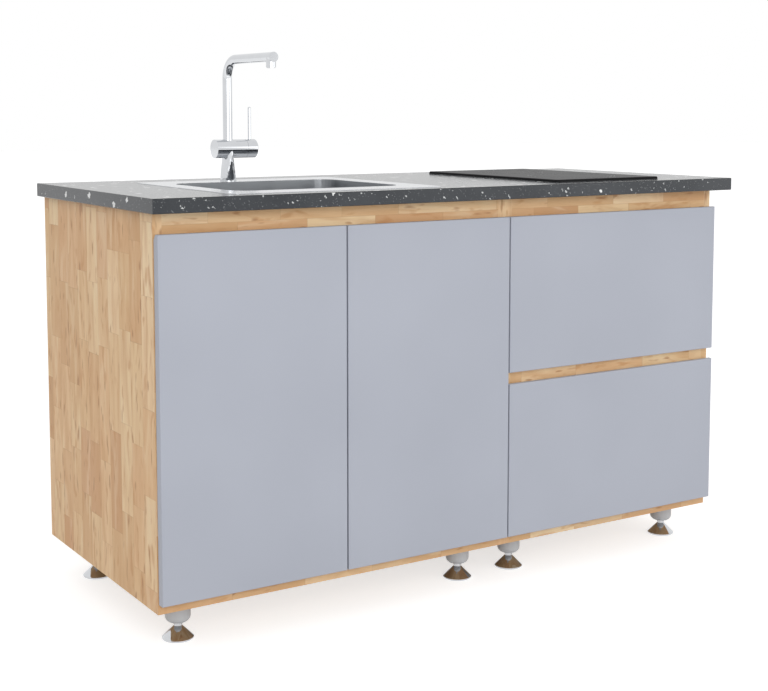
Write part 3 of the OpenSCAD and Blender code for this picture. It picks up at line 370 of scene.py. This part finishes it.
NODE_LOOKS = {
    "upright_wood": ["sink_side_left", "sink_side_right", "drawer_side_left", "drawer_side_right"],
    "cross_wood": ["sink_front_rail", "sink_back_rail", "sink_back_panel", "drawer_front_rail",
                   "drawer_mid_rail", "drawer_back_rail", "drawer_back_panel",
                   "upper_box_ends", "lower_box_ends"],
    "deep_wood": ["upper_box_sides", "lower_box_sides"],
    "flat_wood": ["sink_floor", "drawer_floor", "upper_base", "lower_base"],
    "front": ["door_left", "door_right", "upper_front", "lower_front"],
    "stone": ["worktop"],
    "steel": ["sink_deck", "sink_waste", "strainer_basket"],
    "basin": ["sink_bowl"],
    "chrome": ["tap_body", "tap_spout", "tap_aerator", "tap_end_cap", "tap_lever"]
              + [f"foot_{k}" for k in range(1, 9)],
    "glass": ["hob_glass"],
    "white_plastic": ["bottle_trap", "waste_pipe"],
    "grey_plastic": ["leg_sleeves"],
    "zinc": ["connector_bolts", "sink_clips", "tap_fixing_nut", "hob_housing", "hinge_arms",
             "hinge_cups_left", "hinge_cups_right", "hinge_links_left", "hinge_links_right",
             "runner_outers", "upper_runner_inners", "upper_runner_middles",
             "lower_runner_inners", "lower_runner_middles"],
}


def dress(piece, look):
    """Gives a piece one material."""
    piece.data.materials.clear()
    piece.data.materials.append(SHINE[look])


for look, names in NODE_LOOKS.items():
    for name in names:
        dress(NODES[name], look)


# Small pieces, drawn in mm in the cabinets' own frame

CORNER = Vector(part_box("sink_side_left")[0])
CAB_W = 1400.0
SINK_CAB_W = 800.0
FRONT_BACK_Y = -1.5
HINGE_ZS = (120.0, 611.0)
HINGE_PLATE_X, HINGE_ARM_X = 20.5, 22.5
HINGE_CUP_X, HINGE_CUP_Y = 29.5, -0.5
BOX_ZS = {"upper": 412.5, "lower": 30.0}
BOX_SIDE_X, BOX_FRONT_Y = 831.0, 13.5
FRONT_ZS = {"upper": 378.0, "lower": 20.0}
RUNNER_UP = 60.0
RUNNER_OUTER_X, RUNNER_INNER_X = 819.5, 829.5
LEG_XS = (70.0, 730.0, 870.0, 1330.0)
LEG_YS = (70.0, 500.0)
LEG_PLATE_Z = -2.5
STEM_R, THREAD_RIDGE, THREAD_PITCH = 8.0, 0.45, 1.5
THREAD_ZS = (-53.2, -47.8)
CLIP_Z = 747.7
CLIP_PLACES = ((174, 125), (174, 365), (638, 125), (638, 365), (286, 477), (526, 477))
BOLT_YS, BOLT_ZS, BOLT_REACH = (60, 520), (200, 705), 20
TRAP_X, TRAP_Y = 402.0, 238.0
TRAP_CUP_R, TRAP_CUP_ZS = 36.0, (430.2, 441.6)
TRAP_NUT_R, OUTLET_Z, OUTLET_NUT_YS = 26.0, 476.2, (36.4, 49.6)
INLET_NUT_ZS = (520.6, 537.8)
HOB_X, HOB_Y, GLASS_Z = 1100.0, 262.0, 784.0
HOB_TOP_Z = 778.0
ZONES = ((118, 100), (-112, 78))  # place along Y from the hob's middle, radius
ZONE_LINES_APART = 7
TOUCH_MARKS, TOUCH_MARK_R, TOUCH_MARK_STEP, TOUCH_MARKS_Y = 6, 5.5, 30, -228
UP, DOWN, BACK = (0, 0, 1), (0, 0, -1), (0, 1, 0)
RIGHT, LEFT = (1, 0, 0), (-1, 0, 0)
SHARP_ANGLE = 34.0


def stand(place, direction=UP, turn=0.0):
    """The matrix that stands a form on a place, with its Z along the direction."""
    turned = Vector(direction).to_track_quat("Z", "Y").to_matrix().to_4x4()
    moved = Matrix.Translation(CORNER + Vector(place) * MM)
    return moved @ turned @ Matrix.Rotation(math.radians(turn), 4, "Z") @ Matrix.Scale(MM, 4)


def ring(form, matrix, points):
    return [form.verts.new(matrix @ Vector(point)) for point in points]


def circle(radius, height, steps):
    """Points of a circle about Z, in order."""
    angles = [math.tau * k / steps for k in range(steps)]
    return [(radius * math.cos(angle), radius * math.sin(angle), height) for angle in angles]


def join(form, first, second):
    """Faces between two closed rings, one of which may be a single point."""
    for k in range(max(len(first), len(second))):
        corners = [first[k % len(first)], first[(k + 1) % len(first)],
                   second[(k + 1) % len(second)], second[k % len(second)]]
        form.faces.new(list(dict.fromkeys(corners)))


def lathe(form, matrix, profile, steps=24):
    """Turns a profile of (radius, height) about Z. A radius of 0 closes it."""
    rings = [ring(form, matrix, circle(radius, height, steps) if radius else [(0, 0, height)])
             for radius, height in profile]
    for low, high in zip(rings, rings[1:]):
        join(form, low, high)
    return rings


def tube(form, matrix, path, section):
    """A closed tube along a closed flat path of (place, outward direction), with a section
    of points (outward, up)."""
    rings = [ring(form, matrix, [(x + nx * out, y + ny * out, up) for out, up in section])
             for (x, y), (nx, ny) in path]
    for first, second in zip(rings, rings[1:] + rings[:1]):
        join(form, first, second)


def screw(form, matrix, radius, height):
    """A pan head with a cross recess."""
    rim = lathe(form, matrix, [(0, -0.2), (radius, -0.2), (radius, 0.35 * height),
                               (0.86 * radius, 0.82 * height), (0.66 * radius, height)])[-1]
    mouth, floor = [], []
    for outline, scale, level in ((mouth, 0.5, height), (floor, 0.38, 0.3 * height)):
        for k in range(12):
            angle = math.radians(30 * k - 15)
            reach = radius * scale * (0.38 if k % 3 == 2 else 1.035)
            outline += ring(form, matrix, [(reach * math.cos(angle), reach * math.sin(angle), level)])
    for k in range(12):
        before, middle, after = rim[(2 * k - 1) % 24], rim[2 * k], rim[(2 * k + 1) % 24]
        form.faces.new((before, middle, mouth[k]))
        form.faces.new((middle, after, mouth[(k + 1) % 12], mouth[k]))
    join(form, mouth, floor)
    form.faces.new(floor)


def socket_head(form, matrix, radius, height):
    """A low round head with a hexagonal socket."""
    rim = lathe(form, matrix, [(0, -0.2), (radius, -0.2), (radius, 0.5 * height),
                               (radius - 0.5 * height, height), (0.62 * radius, height)])[-1]
    mouth = ring(form, matrix, circle(0.46 * radius, height, 6))
    for k in range(6):
        arc = [rim[(4 * k + j) % 24] for j in range(5)]
        form.faces.new(arc + [mouth[(k + 1) % 6], mouth[k]])
    floor = ring(form, matrix, circle(0.46 * radius, 0.2 * height, 6))
    join(form, mouth, floor)
    form.faces.new(floor)


def pad(form, matrix, radius, height):
    """A low dome of rubber."""
    lathe(form, matrix, [(0, -0.1), (radius, -0.1), (radius, 0.35 * height), (0.9 * radius, 0.7 * height),
                         (0.65 * radius, 0.93 * height), (0, height)], 20)


def thread(form, matrix, radius, ridge, pitch, low, high):
    """The ridge of a screw thread about Z, with tapered ends."""
    steps, taper = 28, 7
    count = int((high - low) / pitch * steps)
    sections = []
    for k in range(count + 1):
        across, along = math.cos(math.tau * k / steps), math.sin(math.tau * k / steps)
        height = low + (high - low) * k / count
        out = radius + ridge * min(1.0, k / taper, (count - k) / taper)
        points = [(radius - 0.1, -0.36), (out, -0.12), (out, 0.12), (radius - 0.1, 0.36)]
        sections.append(ring(form, matrix, [(reach * across, reach * along, height + up * pitch)
                                            for reach, up in points]))
    for first, second in zip(sections, sections[1:]):
        join(form, first, second)
    form.faces.new(sections[0])
    form.faces.new(sections[-1])


def ribs(form, matrix, radius, low, high, count, half, proud):
    """Grip ribs around a cylinder about Z, each with sloped ends."""
    def outline(turned, reach, half_width, bottom, top):
        return ring(form, turned, [(reach, -half_width, bottom), (reach, half_width, bottom),
                                   (reach, half_width, top), (reach, -half_width, top)])

    slope = min(proud, 0.3 * (high - low))
    for k in range(count):
        turned = matrix @ Matrix.Rotation(math.tau * k / count, 4, "Z")
        foot = outline(turned, radius - 0.3, half, low, high)
        top = outline(turned, radius + proud, 0.5 * half, low + slope, high - slope)
        join(form, foot, top)
        form.faces.new(foot)
        form.faces.new(top)


def piece(name, look, slot, body, draw):
    """Draws a piece into a mesh of its own, which rides on a body."""
    form = bmesh.new()
    draw(form)
    bmesh.ops.recalc_face_normals(form, faces=form.faces)
    mesh = bpy.data.meshes.new(name)
    form.to_mesh(mesh)
    form.free()
    mesh.shade_smooth()
    mesh.set_sharp_from_angle(angle=math.radians(SHARP_ANGLE))
    made = bpy.data.objects.new(name, mesh)
    bpy.context.scene.collection.objects.link(made)
    mesh.materials.append(SHINE[look])
    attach(made, body)


def many(kind, places, radius, height):
    """What draws one small form at each of many (place, direction), turned a little each."""
    def draw(form):
        for k, (place, direction) in enumerate(places):
            kind(form, stand(place, direction, 37.0 * k), radius, height)
    return draw


def mirrored(places, width=SINK_CAB_W, start=0.0):
    """The places and their mirror images in a cabinet of this width."""
    other = [((2 * start + width - x, y, z), (-dx, dy, dz)) for (x, y, z), (dx, dy, dz) in places]
    return places + other


def drawer_mirrored(places):
    return mirrored(places, CAB_W - SINK_CAB_W, SINK_CAB_W)


def round_path(radius, steps, y=0.0):
    """A circle about a place on the Y axis, as (place, outward direction)."""
    angles = [math.tau * k / steps for k in range(steps)]
    outs = [(math.cos(angle), math.sin(angle)) for angle in angles]
    return [((radius * out[0], y + radius * out[1]), out) for out in outs]


def rounded_path(width, depth, radius):
    """A rounded rectangle about the origin, as (place, outward direction)."""
    path = []
    for k, (sx, sy) in enumerate(((1, 1), (-1, 1), (-1, -1), (1, -1))):
        for j in range(7):
            angle = math.radians(90 * k + 15 * j)
            out = (math.cos(angle), math.sin(angle))
            path.append(((sx * (width / 2 - radius) + radius * out[0],
                          sy * (depth / 2 - radius) + radius * out[1]), out))
    return path


def printed(half):
    """The section of a printed line, as wide as twice the half."""
    return [(-half, -0.05), (half, -0.05), (half, 0.08), (-half, 0.08)]


def steel_screws(name, body, places, radius, height):
    piece(name, "screw", "zinc_plated_steel", body, many(screw, places, radius, height))


def fasten_cabinets():
    plates = [((HINGE_PLATE_X, 36.0, z + dz), RIGHT) for z in HINGE_ZS for dz in (-16, 16)]
    steel_screws("hinge_plate_screws", "carcass", mirrored(plates), 4.2, 1.8)
    arms = [((HINGE_ARM_X, y, z), RIGHT) for z in HINGE_ZS for y in (20, 45)]
    steel_screws("hinge_arm_screws", "carcass", mirrored(arms), 3.8, 2.6)
    runners = [((RUNNER_OUTER_X, y, z + RUNNER_UP), RIGHT) for z in BOX_ZS.values() for y in (40, 250, 455)]
    steel_screws("runner_screws", "carcass", drawer_mirrored(runners), 3.5, 1.2)
    legs = [((x + dx, y + dy, LEG_PLATE_Z), DOWN)
            for x in LEG_XS for y in LEG_YS for dx in (-22, 22) for dy in (-22, 22)]
    steel_screws("leg_plate_screws", "carcass", legs, 3.6, 1.6)
    clips = [((x, y, CLIP_Z), DOWN) for x, y in CLIP_PLACES]
    steel_screws("sink_clip_screws", "carcass", clips, 3.8, 1.8)
    bolts = [((SINK_CAB_W + BOLT_REACH * side, y, z), (side, 0, 0))
             for side in (-1, 1) for y in BOLT_YS for z in BOLT_ZS]
    piece("connector_bolt_sockets", "screw", "zinc_plated_steel", "carcass",
          many(socket_head, bolts, 6.6, 1.6))


def fasten_doors():
    cups = [((HINGE_CUP_X, HINGE_CUP_Y, z + dz), BACK) for z in HINGE_ZS for dz in (-21, 21)]
    stops = [((383.0, FRONT_BACK_Y, z), BACK) for z in (40.0, 690.0)]
    for side, own in (("left", slice(0, 4)), ("right", slice(4, 8))):
        steel_screws(f"{side}_cup_screws", f"{side}_door", mirrored(cups)[own], 3.6, 1.2)
    for side, own in (("left", slice(0, 2)), ("right", slice(2, 4))):
        piece(f"{side}_door_bumpers", "clear_rubber", "grey_plastic", f"{side}_door",
              many(pad, mirrored(stops)[own], 4.0, 1.2))


def fasten_drawers():
    for level, z in BOX_ZS.items():
        body = f"{level}_drawer"
        members = [((RUNNER_INNER_X, y, z + RUNNER_UP), LEFT) for y in (40, 240, 440)]
        steel_screws(f"{level}_runner_member_screws", body, drawer_mirrored(members), 3.4, 1.2)
        fronts = [((x, BOX_FRONT_Y, z + up), BACK) for x in (909, 1291) for up in (60, 140)]
        steel_screws(f"{level}_front_screws", body, fronts, 4.4, 1.8)
        boards = [((BOX_SIDE_X, y, z + up), LEFT) for y in (6, 491) for up in (22, 100, 160)]
        steel_screws(f"{level}_box_screws", body, drawer_mirrored(boards), 3.4, 0.6)
        stops = [((809.0, FRONT_BACK_Y, FRONT_ZS[level] + up), BACK) for up in (30, 300)]
        piece(f"{level}_drawer_bumpers", "clear_rubber", "grey_plastic", body,
              many(pad, drawer_mirrored(stops), 4.0, 1.2))


def finish_legs():
    for k, (x, y) in enumerate((x, y) for y in LEG_YS for x in LEG_XS):
        piece(f"foot_{k + 1}_thread", "chrome", "polished_chrome", f"levelling_foot_{k + 1}",
              lambda form, x=x, y=y: thread(form, stand((x, y, 0)), STEM_R, THREAD_RIDGE, THREAD_PITCH,
                                            *THREAD_ZS))


def finish_trap():
    def draw(form):
        centre = stand((TRAP_X, TRAP_Y, 0))
        outlet = stand((TRAP_X, TRAP_Y, OUTLET_Z), BACK)
        ribs(form, centre, TRAP_CUP_R, *TRAP_CUP_ZS, 36, 1.1, 0.8)
        ribs(form, outlet, TRAP_NUT_R, *OUTLET_NUT_YS, 28, 1.0, 0.8)
        ribs(form, centre, TRAP_NUT_R, *INLET_NUT_ZS, 28, 1.0, 0.8)
    piece("trap_nut_ribs", "white_plastic", "white_plastic", "carcass", draw)


def finish_hob():
    def zones(form):
        for y, radius in ZONES:
            for reach in (radius, radius - ZONE_LINES_APART):
                tube(form, stand((HOB_X, HOB_Y, GLASS_Z)), round_path(reach, 72, y), printed(0.5))
        for k in range(TOUCH_MARKS):
            x = HOB_X + TOUCH_MARK_STEP * (k - (TOUCH_MARKS - 1) / 2)
            place = stand((x, HOB_Y + TOUCH_MARKS_Y, GLASS_Z))
            tube(form, place, round_path(TOUCH_MARK_R, 28), printed(0.35))
    piece("hob_zone_prints", "print", "hob_glass", "carcass", zones)

    def seal(form):
        section = [(-2.0, 0.05), (1.7, 0.05), (1.2, 0.9), (-0.6, 1.4), (-2.0, 1.2)]
        tube(form, stand((HOB_X, HOB_Y, HOB_TOP_Z)), rounded_path(298, 498, 7), section)
    piece("hob_seal", "seal", "hob_glass", "carcass", seal)


fasten_cabinets()
fasten_doors()
fasten_drawers()
finish_legs()
finish_trap()
finish_hob()


# The room: a pale floor, soft light and the camera

def make_floor():
    """A pale floor that keeps the object's shadow and glows to white where it is seen."""
    mesh = bpy.data.meshes.new("floor")
    form = bmesh.new()
    bmesh.ops.create_grid(form, x_segments=1, y_segments=1, size=FLOOR_SIZE)
    form.to_mesh(mesh)
    form.free()
    floor = bpy.data.objects.new("floor", mesh)
    bpy.context.scene.collection.objects.link(floor)
    f = Finish("pale_floor", Roughness=0.9, Specular_IOR_Level=0.1)
    f.set("Base Color", FLOOR_COLOUR)
    glow = f.node("ShaderNodeEmission")
    seen = f.node("ShaderNodeLightPath")
    shown = f.math("MAXIMUM", seen.outputs["Is Camera Ray"], seen.outputs["Is Glossy Ray"])
    f.put(glow.inputs["Strength"], f.math("MULTIPLY", shown, FLOOR_GLOW))
    both = f.node("ShaderNodeAddShader")
    f.put(both.inputs[0], f.shader.outputs[0])
    f.put(both.inputs[1], glow.outputs[0])
    f.put(f.surface, both.outputs[0])
    mesh.materials.append(f.material)


def make_world():
    """Even light, and a white backdrop for what is seen straight, in gloss or through glass."""
    world = bpy.data.worlds.new("studio")
    world.use_nodes = True
    bpy.context.scene.world = world
    tree = world.node_tree
    tree.nodes.clear()
    seen = tree.nodes.new("ShaderNodeLightPath")
    mixer = tree.nodes.new("ShaderNodeMixShader")
    shown = seen.outputs["Is Camera Ray"]
    for ray in ("Is Glossy Ray", "Is Transmission Ray"):
        either = tree.nodes.new("ShaderNodeMath")
        either.operation = "MAXIMUM"
        tree.links.new(shown, either.inputs[0])
        tree.links.new(seen.outputs[ray], either.inputs[1])
        shown = either.outputs[0]
    tree.links.new(shown, mixer.inputs[0])
    for socket, strength in ((mixer.inputs[1], WORLD_LIGHT), (mixer.inputs[2], 1.0)):
        background = tree.nodes.new("ShaderNodeBackground")
        background.inputs["Color"].default_value = WHITE
        background.inputs["Strength"].default_value = strength
        tree.links.new(background.outputs[0], socket)
    output = tree.nodes.new("ShaderNodeOutputWorld")
    tree.links.new(mixer.outputs[0], output.inputs["Surface"])


def make_lamp(name, place, aim, size, power):
    data = bpy.data.lights.new(name, "AREA")
    data.shape = "RECTANGLE"
    data.size, data.size_y = size
    data.energy = power
    lamp = bpy.data.objects.new(name, data)
    bpy.context.scene.collection.objects.link(lamp)
    lamp.location = place
    lamp.rotation_euler = (Vector(aim) - Vector(place)).to_track_quat("-Z", "Y").to_euler()


def make_camera():
    data = bpy.data.cameras.new("camera")
    data.lens = CAMERA_LENS
    data.sensor_width = 36.0
    data.shift_y = CAMERA_SHIFT_Y
    data.clip_end = 100.0
    camera = bpy.data.objects.new("camera", data)
    bpy.context.scene.collection.objects.link(camera)
    camera.location = CAMERA_PLACE
    camera.rotation_euler = [math.radians(angle) for angle in CAMERA_TURN]
    bpy.context.scene.camera = camera


make_floor()
make_world()
for lamp in LAMPS:
    make_lamp(*lamp)
make_camera()
bpy.context.scene.view_settings.view_transform = "Standard"
